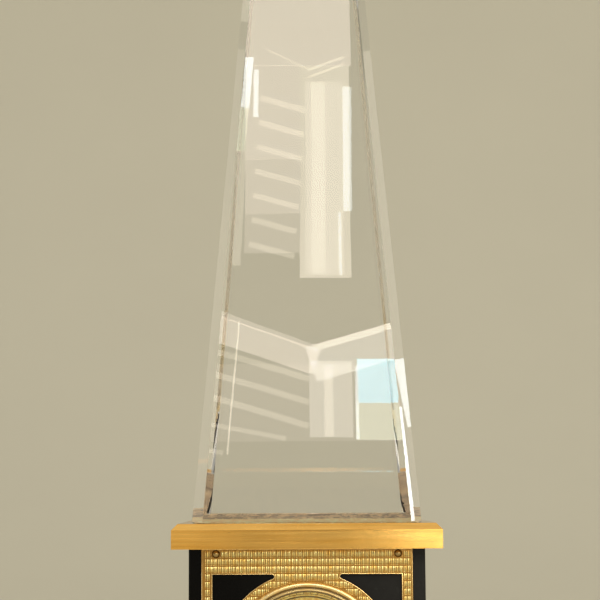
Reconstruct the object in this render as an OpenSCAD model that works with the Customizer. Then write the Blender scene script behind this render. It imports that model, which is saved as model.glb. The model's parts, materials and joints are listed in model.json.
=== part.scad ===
// Obelisk desk clock. Millimetres, +Z up, the dial faces -Y, and the origin is the middle of the
// footprint on the table. Depths named m are counted backwards from the front face of the die.

/* [Obelisk] */
// Width across the foot of the obelisk
obelisk_foot_w = 98; // [80:0.5:106]
// Width across the shoulder, where the point begins
obelisk_shoulder_w = 41; // [30:0.5:60]
// Height from the foot to the shoulder
obelisk_shaft_h = 316; // [200:1:400]
// Height of the point above the shoulder
obelisk_point_h = 35; // [20:0.5:60]
// Width left flat at the very tip
obelisk_tip_w = 1.2; // [0.6:0.1:3]
// Leg of the edge chamfer at the foot
foot_chamfer = 4.7; // [2:0.1:7]
// Leg of the edge chamfer at the shoulder
shoulder_chamfer = 3.1; // [1:0.1:5]
// Thickness of the adhesive film under the obelisk
film_t = 0.2; // [0.1:0.05:0.5]
// Distance of the film's edge inside the obelisk's foot
film_inset = 1; // [0.5:0.5:5]

/* [Slabs and feet] */
// Distance that both slabs stand out beyond the die
slab_overhang = 7; // [4:0.5:25]
// Thickness of each slab
slab_t = 10.6; // [8:0.2:16]
// Leg of the chamfer round each slab's top edge
slab_chamfer = 2.6; // [1:0.1:3.4]
// Height of the rubber feet
foot_h = 4; // [2:0.5:8]
// Radius of a rubber foot
foot_r = 7; // [4:0.5:9]
// Distance of each foot's middle inside the slab's edge
foot_inset = 25; // [24:1:37]
// Distance of each tie bolt inside the die's side
tie_inset = 6.4; // [5.5:0.1:7.5]
// Radius of the tie bolts
tie_r = 2; // [1.5:0.1:2.4]

/* [Die] */
// Width and depth of the black die
die_w = 100; // [98:0.5:106]
// Height of the die
die_h = 94.5; // [88:0.5:110]
// Thickness of the die's front wall
front_wall_t = 8; // [6:0.5:12]
// Radius of the bay bored in from the back
bay_r = 38; // [36.5:0.1:38.6]
// Arris taken off the die's upright edges
die_arris = 0.8; // [0.2:0.1:2]

/* [Fret panel] */
// Width of the gilt panel
panel_w = 89; // [84:0.5:96]
// Thickness of the panel
panel_t = 1.2; // [0.6:0.1:2]
// Width of the panel's top and bottom bands
band_h = 10.7; // [8:0.1:11]
// Width of the panel's side bands
side_band_w = 4.6; // [3:0.1:6]
// Width of the round land between the bezel and the corner windows
land_w = 4.5; // [2.55:0.05:6.55]
// Radius of the windows' rounded tips
window_tip_r = 0.9; // [0.4:0.1:1.5]
// Radius of a panel pin's head
pin_head_r = 1.7; // [1:0.1:2.2]
// Height of a panel pin's head
pin_head_h = 1.3; // [0.6:0.1:1.6]
// Distance of each pin from the panel's side edge
pin_side_inset = 6.1; // [4:0.1:10]
// Distance of each pin from the panel's upper or lower edge
pin_end_inset = 2.1; // [2:0.1:4]

/* [Bezel and dial] */
// Distance of the bead's crest outside the bezel's tube
crest_offset = 0.95; // [0.7:0.05:2.7]
// Radius of the bead's own round section
bead_r = 0.9; // [0.6:0.05:1]
// Outer radius of the bezel's tube
bezel_tube_r = 31.3; // [31:0.1:31.4]
// Wall of the bezel's tube
bezel_tube_t = 0.6; // [0.4:0.1:0.8]
// Width of the bezel's lip over the crystal
bezel_lip_w = 1.65; // [1.2:0.05:3.3]
// Thickness of the crystal
crystal_t = 1; // [0.8:0.1:1.5]
// Depth of the dial's face behind the die's front
dial_face_m = 2; // [1.5:0.1:3]
// Thickness of the dial plate
dial_t = 0.8; // [0.5:0.1:1]
// Distance of the minute ring inside the bezel's lip
ring_margin = 0.8; // [0.2:0.1:1.3]
// Width of the minute ring
minute_ring_w = 1.4; // [1:0.1:3.4]
// Distance of the hour batons inside the minute ring
baton_inset = 3.2; // [1:0.1:5]
// Length of an hour baton
baton_l = 5.6; // [3:0.1:8]
// Width of an hour baton
baton_w = 1.5; // [0.8:0.1:2.4]
// Distance of the minute hand's tip inside the minute ring
minute_hand_inset = 2.7; // [1.4:0.1:7.9]
// Distance of the hour hand's tip inside the minute ring
hour_hand_inset = 10.7; // [8.9:0.1:15.9]
// Hour that the hands show
show_hour = 10; // [0:1:11]
// Minute that the hands show
show_minute = 9; // [0:1:59]

/* [Movement] */
// Radius of the back plate
back_plate_r = 29.4; // [29.2:0.1:30.4]
// Thickness of the movement's plates
plate_t = 1.6; // [1.2:0.1:2]
// Distance between the plates
train_gap = 14; // [13.8:0.1:16]
// Radius of the pillars
pillar_r = 1.6; // [1.2:0.1:2]
// Distance of the pillars inside the back plate's edge
pillar_inset = 2.6; // [2.2:0.1:3.4]
// Radius of the train's pivots
pivot_r = 0.4; // [0.3:0.05:0.5]
// Radius of the centre arbor
centre_arbor_r = 0.8; // [0.6:0.05:0.9]
// Radius of the barrel arbor
barrel_arbor_r = 1.5; // [1.2:0.1:1.8]
// Radial clearance of a turning shaft in its bore
run_fit = 0.05; // [0.03:0.01:0.08]
// Width of the winding square, as a multiple of its arbor's radius
square_ratio = 1.4; // [1.05:0.05:1.5]
// Span of the winding key's wings
key_span = 21; // [16:0.5:24]
// Radius of the setting knob
set_knob_r = 5; // [3.5:0.1:6]
// Radius of the balance wheel
balance_r = 7.6; // [6:0.1:8]
// Turns of the hairspring
hairspring_turns = 6; // [4:1:8]

/* [Back door] */
// Distance that the round back door covers beyond the bay
door_overlap = 3; // [1.4:0.1:3.5]
// Thickness of the door
door_t = 1.4; // [1:0.1:2]
// Width of the back ring's lip inside the bay
back_lip_w = 1.6; // [1.4:0.1:3.5]
// Thickness of the back ring's flange
flange_t = 1.6; // [1.2:0.1:2]
// Radius of the hinge pin
hinge_pin_r = 0.8; // [0.6:0.05:1]

/* [Hidden] */
$fn = 96;
eps = 0.01;

// Widths and places that follow the die
slab_w = die_w + 2 * slab_overhang;
foot_place = slab_w / 2 - foot_inset;
tie_place = die_w / 2 - tie_inset;

// Heights of the stack
base_z = foot_h;
die_z = base_z + slab_t;
cap_z = die_z + die_h;
film_z = cap_z + slab_t;
obelisk_z = film_z + film_t;
clock_z = die_z + die_h / 2;
front_y = -die_w / 2;

// Depths behind the die's front face
panel_m = -panel_t;
lip_t = 0.8;
lip_m = panel_m - 1.5;
crystal_m = lip_m + lip_t;
spacer_m = crystal_m + crystal_t;
dial_back_m = dial_face_m + dial_t;
ring_t = 2;
front_plate_m = front_wall_t + ring_t;
train_m = front_plate_m + plate_t;
back_plate_m = train_m + train_gap;
rear_m = back_plate_m + plate_t;

// Radii of the bezel, the dial and the hands
inside_fit = 0.05;
seat_r = bezel_tube_r - bezel_tube_t - inside_fit;
wall_hole_r = bezel_tube_r + 0.1;
bezel_crest_r = bezel_tube_r + crest_offset;
land_r = bezel_crest_r + bead_r + land_w;
sight_r = bezel_tube_r - bezel_lip_w;
minute_ring_outer_r = sight_r - ring_margin;
minute_ring_inner_r = minute_ring_outer_r - minute_ring_w;
minute_hand_l = minute_ring_inner_r - minute_hand_inset;
hour_hand_l = minute_ring_inner_r - hour_hand_inset;
dial_foot_place = minute_ring_inner_r - 3.9;

// Radii of the turning pieces on the hands' axis
cannon_r = centre_arbor_r + 0.48;
hour_pipe_r = cannon_r + run_fit + 0.67;
minute_hub_r = cannon_r + 1.02;
hour_hub_r = hour_pipe_r + 1.2;
dial_hole_r = hour_pipe_r + 0.6;

// Radii of the movement's seat, the bay and the back door
ring_inner_r = bezel_tube_r - 4.1;
ring_outer_r = bay_r - 0.6;
front_plate_r = 33.6;
band_gap = 0.05;
band_t = 0.7;
pillar_place = back_plate_r - pillar_inset;
pillar_screw_r = pillar_r - 0.7;
square_w = barrel_arbor_r * square_ratio;
door_r = bay_r + door_overlap;
back_opening_r = bay_r - back_lip_w;

// Teeth and tooth modules of the going train
barrel_teeth = 72;
intermediate_leaves = 12;
intermediate_teeth = 60;
centre_leaves = 12;
centre_teeth = 64;
third_leaves = 8;
third_teeth = 60;
fourth_leaves = 8;
fourth_teeth = 60;
escape_leaves = 6;
escape_teeth = 15;
barrel_mod = 0.35;
intermediate_mod = 0.3;
centre_mod = 0.25;
third_mod = 0.25;
fourth_mod = 0.22;

// Teeth and tooth modules of the motion work and the winding
cannon_leaves = 12;
minute_teeth = 36;
minute_leaves = 10;
hour_teeth = 40;
motion_distance = 9.6;
minute_mod = 2 * motion_distance / (cannon_leaves + minute_teeth);
hour_mod = 2 * motion_distance / (minute_leaves + hour_teeth);
ratchet_teeth = 24;
ratchet_r = 6;

function reach(teeth, leaves, mod) = (teeth + leaves) * mod / 2;
function polar(distance, angle) = distance * [cos(angle), sin(angle)];
function bearing(from, to) = atan2(to[1] - from[1], to[0] - from[0]);
function included(a, b, c) = acos((a * a + b * b - c * c) / (2 * a * b));

// Axes of the movement, as [right, up] from the dial's centre
centre_p = [0, 0];
barrel_distance = 14.9;
barrel_angle = 200;
barrel_p = polar(barrel_distance, barrel_angle);
centre_reach = reach(intermediate_teeth, centre_leaves, intermediate_mod);
barrel_reach = reach(barrel_teeth, intermediate_leaves, barrel_mod);
intermediate_p = polar(centre_reach,
    barrel_angle + included(barrel_distance, centre_reach, barrel_reach));
third_p = polar(reach(centre_teeth, third_leaves, centre_mod), 20);
fourth_p = third_p + polar(reach(third_teeth, fourth_leaves, third_mod), 110);
escape_p = fourth_p + polar(reach(fourth_teeth, escape_leaves, fourth_mod), 170);
lever_angle = 150;
pallet_p = escape_p + polar(4.6, lever_angle);
staff_distance = 6;
balance_p = pallet_p + polar(staff_distance, lever_angle);
cock_foot_p = balance_p + polar(13.6, 22);
minute_p = polar(motion_distance, 300);
click_p = barrel_p + polar(ratchet_r + 3.2, 300);
pillar_angles = [50, 150, 245, 320];
plate_screw_angles = [5, 95, 185, 275];

// Layers of the movement, as depths
barrel_layer = [train_m + 0.8, train_m + 2.2];
barrel_top_m = train_m + 8;
intermediate_layer = [train_m + 8.8, train_m + 9.8];
centre_layer = [train_m + 11, train_m + 11.8];
third_layer = [train_m + 5.2, train_m + 6];
fourth_layer = [train_m + 8.4, train_m + 9.2];
escape_layer = [train_m + 12, train_m + 12.7];
shoulder_gap = 0.15;
hour_layer = [dial_back_m + 0.6, dial_back_m + 1.6];
minute_layer = [dial_back_m + 3.4, dial_back_m + 4.4];
balance_layer = [rear_m + 1.8, rear_m + 3.2];
hairspring_layer = [rear_m + 4.1, rear_m + 4.9];
cock_layer = [rear_m + 5.6, rear_m + 7.2];

// A flat shape seen from the front, filling the depths m0 to m1 about the axis p
module layer(m0, m1, p = [0, 0]) {
    translate([p[0], front_y + m1, clock_z + p[1]]) rotate([90, 0, 0])
        linear_extrude(m1 - m0) children();
}

// A round rod that fills the depths m0 to m1
module rod(m0, m1, r, p = [0, 0]) {
    layer(m0, m1, p) circle(r);
}

// A turned piece about the axis p, drawn as [radius, depth]
module turned(p = [0, 0]) {
    translate([p[0], front_y, clock_z + p[1]]) rotate([-90, 0, 0])
        rotate_extrude() children();
}

// Width w at radii r0 to r1, drawn as [radius, depth]
module step(r0, r1, m0, m1) {
    translate([r0, m0]) square([r1 - r0, m1 - m0]);
}

// Trapezium teeth: half widths are shares of the tooth pitch, at the root and at the tip
function toothed(n, root, tip, root_share, tip_share) = [
    for (i = [0 : n - 1])
        for (c = [[root, -root_share], [tip, -tip_share], [tip, tip_share], [root, root_share]])
            polar(c[0], (i + c[1]) * 360 / n)
];

module wheel_teeth(n, mod) {
    polygon(toothed(n, (n / 2 - 1.35) * mod, (n / 2 + 0.85) * mod, 0.27, 0.09));
}

module pinion_leaves(n, mod) {
    polygon(toothed(n, (n / 2 - 1.4) * mod, (n / 2 + 0.35) * mod, 0.14, 0.1));
}

// Spokes and rim of a wheel, cut out of its toothed disc
module crossings(outer, inner, arms, arm_w) {
    difference() {
        circle(outer);
        circle(inner);
        for (i = [0 : arms - 1])
            rotate(i * 360 / arms) translate([0, -arm_w / 2]) square([outer + 1, arm_w]);
    }
}

// A wheel whose tooth lies on the line to its partner at angle a
module train_wheel(n, mod, span, p, a, hub_r) {
    layer(span[0], span[1], p) difference() {
        rotate(a) wheel_teeth(n, mod);
        crossings((n / 2 - 1.35) * mod - 0.9, hub_r, 4, 0.9);
    }
}

// A pinion whose gap lies on the line to its partner at angle a
module train_pinion(n, mod, m0, m1, p, a) {
    layer(m0, m1, p) rotate(a + 180 / n) pinion_leaves(n, mod);
}

// An arbor between the plates, with a pivot at each end
module arbor(p, r) {
    rod(train_m + shoulder_gap, back_plate_m - shoulder_gap, r, p);
    rod(front_plate_m + 0.3, rear_m - 0.3, pivot_r, p);
}

// Copies at the four corners, x and y from the middle
module at_corners(x, y) {
    for (sx = [-1, 1])
        for (sy = [-1, 1])
            translate([sx * x, sy * y, 0]) children();
}

function section(half, leg, z) = [
    for (q = [0 : 3])
        for (c = [[half, leg - half], [half, half - leg]])
            [c[0] * cos(q * 90) - c[1] * sin(q * 90), c[0] * sin(q * 90) + c[1] * cos(q * 90), z]
];

// A solid through eight-cornered sections, from the lowest up
module stacked(sections) {
    points = [for (s = sections) each s];
    top = 8 * (len(sections) - 1);
    sides = [
        for (k = [0 : len(sections) - 2])
            for (i = [0 : 7])
                let (a = 8 * k + i, b = 8 * k + (i + 1) % 8)
                    [a, a + 8, b + 8, b]
    ];
    floor_face = [for (i = [0 : 7]) i];
    top_face = [for (i = [7 : -1 : 0]) top + i];
    polyhedron(points, concat([floor_face], sides, [top_face]));
}

module obelisk() {
    tip_half = obelisk_tip_w / 2;
    tip_leg = shoulder_chamfer * obelisk_tip_w / obelisk_shoulder_w;
    color("gainsboro", 0.4) translate([0, 0, obelisk_z]) stacked([
        section(obelisk_foot_w / 2, foot_chamfer, 0),
        section(obelisk_shoulder_w / 2, shoulder_chamfer, obelisk_shaft_h),
        section(tip_half, tip_leg, obelisk_shaft_h + obelisk_point_h)
    ]);
}

module adhesive_film() {
    w = obelisk_foot_w - 2 * film_inset;
    color("tan") translate([0, 0, film_z]) linear_extrude(film_t) intersection() {
        square(w, center = true);
        rotate(45) square((w - foot_chamfer) * sqrt(2), center = true);
    }
}

module slab_body(z) {
    difference() {
        translate([-slab_w / 2, -slab_w / 2, z]) cube([slab_w, slab_w, slab_t]);
        for (a = [0 : 90 : 270])
            rotate(a) translate([slab_w / 2, 0, z + slab_t]) rotate([0, 45, 0])
                cube([slab_chamfer * sqrt(2), slab_w + 2, slab_chamfer * sqrt(2)], center = true);
    }
}

tie_head_h = 3;
tie_head_r = tie_r + 1.6;
tie_recess = tie_head_h + 1;
tie_grip = 6.5;
tie_fit = 0.2;
tie_head_fit = 0.3;

module cap_slab() {
    color("goldenrod") difference() {
        slab_body(cap_z);
        at_corners(tie_place, tie_place) translate([0, 0, cap_z - 1]) cylinder(h = tie_grip + 1, r = tie_r);
    }
}

module base_slab() {
    color("goldenrod") difference() {
        slab_body(base_z);
        at_corners(tie_place, tie_place) {
            translate([0, 0, base_z - 1]) cylinder(h = slab_t + 2, r = tie_r + tie_fit);
            translate([0, 0, base_z - 1]) cylinder(h = tie_recess + 1, r = tie_head_r + tie_head_fit);
        }
    }
}

module rubber_feet() {
    round_r = min(1.2, foot_h / 2);
    color("dimgray") at_corners(foot_place, foot_place) rotate_extrude() {
        square([foot_r - round_r, foot_h]);
        translate([0, round_r]) square([foot_r, foot_h - round_r]);
        translate([foot_r - round_r, round_r]) circle(round_r);
    }
}

module tie_bolts() {
    head_z = base_z + tie_recess;
    color("silver") at_corners(tie_place, tie_place) difference() {
        union() {
            translate([0, 0, head_z - tie_head_h]) cylinder(h = tie_head_h, r = tie_head_r);
            translate([0, 0, head_z - eps]) cylinder(h = cap_z + tie_grip - 0.5 - head_z, r = tie_r);
        }
        translate([0, 0, head_z - tie_head_h - 1]) cylinder(h = 2.6, r = tie_r, $fn = 6);
    }
}

pin_x = panel_w / 2 - pin_side_inset;
pin_z = die_h / 2 - pin_end_inset;
pin_r = 0.6;
pin_l = 7;
panel_end_gap = 0.05;
bridge_half_w = 6;
mount_screw_place = (front_plate_r + ring_outer_r) / 2 + 0.1;
mount_screw_r = 0.9;
ring_screw_r = 0.9;
ring_screw_place = bay_r + 1.3;
ring_screw_l = 8;

module at_pins() {
    for (sx = [-1, 1])
        for (sz = [-1, 1])
            translate([sx * pin_x, 0, sz * pin_z]) children();
}

module case_block() {
    color([0.06, 0.05, 0.05]) difference() {
        translate([-die_w / 2, front_y, die_z]) cube([die_w, die_w, die_h]);
        for (a = [45 : 90 : 315])
            rotate(a) translate([die_w / sqrt(2), 0, clock_z])
                cube([die_arris * sqrt(2), 4 * die_arris, die_h + 2], center = true);
        rod(front_wall_t, die_w + 1, bay_r);
        rod(-1, front_wall_t + 1, wall_hole_r);
        at_corners(tie_place, tie_place) translate([0, 0, die_z - 1])
            cylinder(h = die_h + 2, r = tie_r + tie_fit);
        at_pins() rod(-1, pin_l, pin_r);
        for (a = [45 : 90 : 315]) {
            rod(2, front_wall_t + 1, mount_screw_r, polar(mount_screw_place, a));
            rod(die_w - ring_screw_l, die_w + 1, ring_screw_r, polar(ring_screw_place, a));
        }
    }
}

// Where a window's rounded tip meets the land's arc, never nearer to the axis than half a bridge
function tip_along(across) =
    sqrt(max(pow(land_r + window_tip_r, 2) - across * across, pow(bridge_half_w, 2)));

// One corner window of the panel, in the quarter to the upper right
module window() {
    side_x = panel_w / 2 - side_band_w;
    top_z = die_h / 2 - band_h;
    tip_z = top_z - window_tip_r;
    tip_x = tip_along(tip_z);
    side_tip_x = side_x - window_tip_r;
    side_tip_z = tip_along(side_tip_x);
    difference() {
        square([side_x, top_z]);
        circle(land_r);
        polygon([[0, top_z + 1], [tip_x, top_z + 1], [tip_x, tip_z], [0, 0]]);
        polygon([[side_x + 1, 0], [side_x + 1, side_tip_z], [side_tip_x, side_tip_z], [0, 0]]);
    }
    translate([tip_x, tip_z]) circle(window_tip_r + eps);
    translate([side_tip_x, side_tip_z]) circle(window_tip_r + eps);
}

module front_panel() {
    color("gold") layer(panel_m, 0) difference() {
        square([panel_w, die_h - 2 * panel_end_gap], center = true);
        circle(wall_hole_r);
        for (sx = [0, 1])
            for (sz = [0, 1])
                mirror([sx, 0]) mirror([0, sz]) window();
        for (sx = [-1, 1])
            for (sz = [-1, 1])
                translate([sx * pin_x, sz * pin_z]) circle(pin_r);
    }
}

module panel_pins() {
    dome_r = (pin_head_r * pin_head_r + pin_head_h * pin_head_h) / (2 * pin_head_h);
    color("gold") at_pins() {
        rod(panel_m, pin_l, pin_r);
        intersection() {
            translate([0, front_y + panel_m - pin_head_h + dome_r, clock_z]) sphere(dome_r);
            rod(panel_m - pin_head_h - 1, panel_m, pin_head_r + 1);
        }
    }
}

// A broad outer bead, a groove, and a fine inner bead on the lip that holds the crystal
module bezel_ring() {
    bead_m = panel_m - 1;
    groove_m = crystal_m - 0.2;
    fine_bead_r = 0.38;
    fine_bead_m = lip_m + fine_bead_r;
    color("gold") turned() {
        translate([bezel_crest_r, bead_m]) circle(bead_r);
        step(bezel_crest_r - bead_r, bezel_crest_r + bead_r, bead_m, panel_m);
        step(bezel_tube_r - eps, bezel_crest_r, groove_m, panel_m);
        step(bezel_tube_r - bezel_tube_t, bezel_tube_r, crystal_m - eps, front_wall_t);
        step(sight_r, bezel_tube_r, groove_m, crystal_m);
        translate([sight_r + fine_bead_r, fine_bead_m]) circle(fine_bead_r);
        step(sight_r, sight_r + 2 * fine_bead_r, fine_bead_m, crystal_m);
    }
}

module crystal() {
    color("white", 0.2) rod(crystal_m, spacer_m, seat_r);
}

module dial_spacer() {
    color("goldenrod") turned() step(sight_r, seat_r, spacer_m, dial_face_m);
}

dial_foot_angles = [20, 160];
dial_foot_r = 0.8;
field_gap = 0.65;

// The minute ring is a plain track inside and sixty cells outside, parted by fine grooves
module dial_plate() {
    relief = 0.15;
    groove_w = 0.24;
    track_r = (minute_ring_inner_r + minute_ring_outer_r) / 2;
    color("gold") {
        difference() {
            rod(dial_face_m + relief, dial_back_m, seat_r);
            rod(dial_face_m, dial_back_m + 1, dial_hole_r);
        }
        layer(dial_face_m, dial_face_m + relief + eps) difference() {
            circle(minute_ring_outer_r);
            circle(minute_ring_inner_r);
            difference() {
                circle(track_r + groove_w / 2);
                circle(track_r - groove_w / 2);
            }
            for (i = [0 : 59])
                rotate(i * 6 + 3) translate([track_r, -groove_w / 2]) square([3.5, groove_w]);
        }
        layer(dial_face_m, dial_face_m + relief + eps) difference() {
            circle(minute_ring_inner_r - field_gap);
            circle(dial_hole_r);
        }
        for (a = dial_foot_angles)
            rod(dial_back_m - eps, train_m, dial_foot_r, polar(dial_foot_place, a));
    }
}

module hour_markers() {
    outer = minute_ring_inner_r - baton_inset;
    color([0.08, 0.07, 0.06]) layer(dial_face_m - 0.4, dial_face_m) for (h = [0 : 11]) {
        spread = h == 0 ? baton_w * 0.75 : 0;
        for (s = h == 0 ? [-1, 1] : [0])
            rotate(-30 * h) translate([s * spread - baton_w / 2, outer - baton_l])
                square([baton_w, baton_l]);
    }
}

hour_hand_layer = [dial_face_m - 1, dial_face_m - 0.6];
minute_hand_layer = [dial_face_m - 1.9, dial_face_m - 1.5];
nut_front_m = minute_hand_layer[0] - 0.7;

// A baton hand that shows the clockwise angle: its span of depths, hub, bore, widths and length
module hand(span, angle, hub_r, bore_r, root_w, wide_w, length) {
    tail = length * 0.2;
    difference() {
        union() {
            rod(span[0], span[1], hub_r);
            layer(span[0], span[1]) rotate(-angle) polygon([
                [-root_w / 2, -tail], [-wide_w / 2, length * 0.72], [0, length],
                [wide_w / 2, length * 0.72], [root_w / 2, -tail]
            ]);
        }
        rod(span[0] - 1, span[1] + 1, bore_r);
    }
}

module hour_hand() {
    color([0.08, 0.07, 0.06])
        hand(hour_hand_layer, 30 * show_hour + show_minute / 2, hour_hub_r, hour_pipe_r, 1.6, 2.6,
            hour_hand_l);
}

module minute_hand() {
    color([0.08, 0.07, 0.06])
        hand(minute_hand_layer, 6 * show_minute, minute_hub_r, cannon_r, 1.3, 1.9, minute_hand_l);
}

module hand_nut() {
    color("gold") difference() {
        rod(nut_front_m, minute_hand_layer[0], centre_arbor_r + 0.9);
        rod(nut_front_m - 1, minute_hand_layer[0] + 1, centre_arbor_r);
    }
}

knob_layer = [rear_m + 4, rear_m + 10];

module centre_arbor() {
    color("silver") {
        rod(nut_front_m, knob_layer[1], centre_arbor_r);
        rod(train_m + 0.2, train_m + 0.8, centre_arbor_r + 0.7);
    }
}

module cannon_pinion() {
    color("silver") difference() {
        union() {
            rod(minute_hand_layer[0], minute_layer[0], cannon_r);
            layer(minute_layer[0] - 0.4, minute_layer[1] + 0.6)
                rotate(bearing(centre_p, minute_p) + 180 / cannon_leaves)
                    pinion_leaves(cannon_leaves, minute_mod);
        }
        rod(minute_hand_layer[0] - 1, minute_layer[1] + 1, centre_arbor_r);
    }
}

post_r = 0.6;

module minute_wheel() {
    color("gold") difference() {
        union() {
            train_wheel(minute_teeth, minute_mod, minute_layer, minute_p,
                bearing(minute_p, centre_p), 2.6);
            train_pinion(minute_leaves, hour_mod, hour_layer[0] - 0.3, minute_layer[0] + eps,
                minute_p, bearing(minute_p, centre_p));
        }
        rod(dial_back_m - 1, front_plate_m, post_r + run_fit, minute_p);
    }
}

module hour_wheel() {
    color("gold") difference() {
        union() {
            train_wheel(hour_teeth, hour_mod, hour_layer, centre_p,
                bearing(centre_p, minute_p), hour_hub_r);
            rod(hour_hand_layer[0], hour_layer[1], hour_pipe_r);
        }
        rod(hour_hand_layer[0] - 1, hour_layer[1] + 1, cannon_r + run_fit);
    }
}

plate_screw_place = (front_plate_r + back_plate_r + band_gap + band_t) / 2;
plate_screw_r = 0.7;

module mounting_ring() {
    color("silver") difference() {
        rod(front_wall_t, front_plate_m, ring_outer_r);
        rod(front_wall_t - 1, front_plate_m + 1, ring_inner_r);
        for (a = [45 : 90 : 315])
            rod(front_wall_t - 1, front_plate_m + 1, mount_screw_r, polar(mount_screw_place, a));
        for (a = plate_screw_angles)
            rod(front_wall_t + 0.3, front_plate_m + 1, plate_screw_r, polar(plate_screw_place, a));
    }
}

// A cheese-head screw driven forwards: its head stands behind the depth m
module rear_screw(p, m, head_r, head_h, shank_r, shank_l) {
    difference() {
        rod(m, m + head_h, head_r, p);
        layer(m + head_h / 2, m + head_h + 1, p) rotate(p[0] * 7)
            square([3 * head_r, head_h / 3], center = true);
    }
    rod(m - shank_l, m + eps, shank_r, p);
}

module mounting_screws() {
    color("silver") for (a = [45 : 90 : 315])
        rear_screw(polar(mount_screw_place, a), front_plate_m, 1.5, 0.9, mount_screw_r, front_plate_m - 2);
}

module plate_screws() {
    color("silver") for (a = plate_screw_angles)
        rear_screw(polar(plate_screw_place, a), train_m, 1.3, 0.8, plate_screw_r, plate_t + ring_t - 0.3);
}

train_axes = [intermediate_p, third_p, fourth_p, escape_p, pallet_p];

// The bores that both plates share
module plate_bores(m0, m1) {
    for (p = train_axes)
        rod(m0, m1, pivot_r + run_fit, p);
    rod(m0, m1, centre_arbor_r + run_fit, centre_p);
    rod(m0, m1, barrel_arbor_r + run_fit, barrel_p);
}

module front_plate() {
    color("gold") {
        difference() {
            rod(front_plate_m, train_m, front_plate_r);
            plate_bores(front_plate_m - 1, train_m + 1);
            rod(front_plate_m - 1, train_m + 1, pivot_r + run_fit, balance_p);
            for (a = plate_screw_angles)
                rod(front_plate_m - 1, train_m + 1, plate_screw_r, polar(plate_screw_place, a));
            for (a = dial_foot_angles)
                rod(front_plate_m - 1, train_m + 1, dial_foot_r + 0.1, polar(dial_foot_place, a));
        }
        rod(hour_layer[0] - 0.3, front_plate_m + eps, post_r, minute_p);
    }
}

module pillars() {
    color("gold") for (a = pillar_angles)
        difference() {
            rod(train_m, back_plate_m, pillar_r, polar(pillar_place, a));
            rod(back_plate_m - 4.2, back_plate_m + 1, pillar_screw_r, polar(pillar_place, a));
        }
}

module back_plate() {
    color("gold") difference() {
        rod(back_plate_m, rear_m, back_plate_r);
        plate_bores(back_plate_m - 1, rear_m + 1);
        rod(back_plate_m - 1, rear_m + 1, 1.6, balance_p);
        rod(back_plate_m - 1, rear_m + 1, click_screw_r, click_p);
        rod(back_plate_m - 1, rear_m + 1, cock_screw_r, cock_foot_p);
        for (a = pillar_angles)
            rod(back_plate_m - 1, rear_m + 1, pillar_screw_r, polar(pillar_place, a));
    }
}

module pillar_screws() {
    color("steelblue") for (a = pillar_angles)
        rear_screw(polar(pillar_place, a), rear_m, 2.1, 1.1, pillar_screw_r, plate_t + 4);
}

module dust_band() {
    inner = back_plate_r + band_gap;
    color("white", 0.3) turned() step(inner, inner + band_t, train_m, rear_m);
}

barrel_root_r = (barrel_teeth / 2 - 1.35) * barrel_mod;
barrel_wall_t = 0.9;
barrel_inner_r = barrel_root_r - barrel_wall_t;
barrel_floor_t = 1;
cover_t = 0.8;
arbor_hub_r = barrel_arbor_r + 1.5;

module barrel() {
    color("gold") {
        difference() {
            union() {
                layer(barrel_layer[0], barrel_layer[1], barrel_p)
                    rotate(bearing(barrel_p, intermediate_p)) wheel_teeth(barrel_teeth, barrel_mod);
                rod(barrel_layer[0], barrel_top_m, barrel_root_r, barrel_p);
            }
            rod(barrel_layer[0] + barrel_floor_t, barrel_top_m + 1, barrel_inner_r, barrel_p);
            rod(barrel_layer[0] - 1, barrel_top_m, barrel_arbor_r + run_fit, barrel_p);
        }
    }
}

module barrel_cover() {
    color("goldenrod") difference() {
        rod(barrel_top_m - cover_t, barrel_top_m, barrel_inner_r, barrel_p);
        rod(barrel_top_m - cover_t - 1, barrel_top_m + 1, barrel_arbor_r + run_fit, barrel_p);
    }
}

// A flat spiral ribbon: from r0 to r1 in so many turns, thickness t
module spiral(r0, r1, turns, t, steps_per_turn) {
    n = turns * steps_per_turn;
    inner_edge = [for (i = [0 : n]) polar(r0 + (r1 - r0) * i / n - t / 2, 360 * i / steps_per_turn)];
    outer_edge = [for (i = [n : -1 : 0]) polar(r0 + (r1 - r0) * i / n + t / 2, 360 * i / steps_per_turn)];
    polygon(concat(inner_edge, outer_edge));
}

mainspring_t = 0.3;

module mainspring() {
    color("steelblue") layer(barrel_layer[0] + barrel_floor_t + 0.2, barrel_top_m - cover_t - 0.2, barrel_p)
        spiral(arbor_hub_r + mainspring_t, barrel_inner_r - mainspring_t, 8, mainspring_t, 20);
}

ratchet_layer = [rear_m + 0.4, rear_m + 1.6];
key_layer = [rear_m + 2, rear_m + 11];
square_end_m = rear_m + 9;

module barrel_arbor() {
    color("silver") {
        rod(front_plate_m + 0.2, rear_m + 0.2, barrel_arbor_r, barrel_p);
        rod(barrel_layer[0] + barrel_floor_t + 0.1, barrel_top_m - cover_t - 0.1, arbor_hub_r, barrel_p);
        layer(rear_m + 0.2 - eps, square_end_m, barrel_p) square(square_w, center = true);
    }
}

module intermediate_wheel() {
    color("gold") {
        arbor(intermediate_p, 0.8);
        train_pinion(intermediate_leaves, barrel_mod, train_m + 0.4, train_m + 2.8, intermediate_p,
            bearing(intermediate_p, barrel_p));
        train_wheel(intermediate_teeth, intermediate_mod, intermediate_layer, intermediate_p,
            bearing(intermediate_p, centre_p), 2);
    }
}

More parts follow.
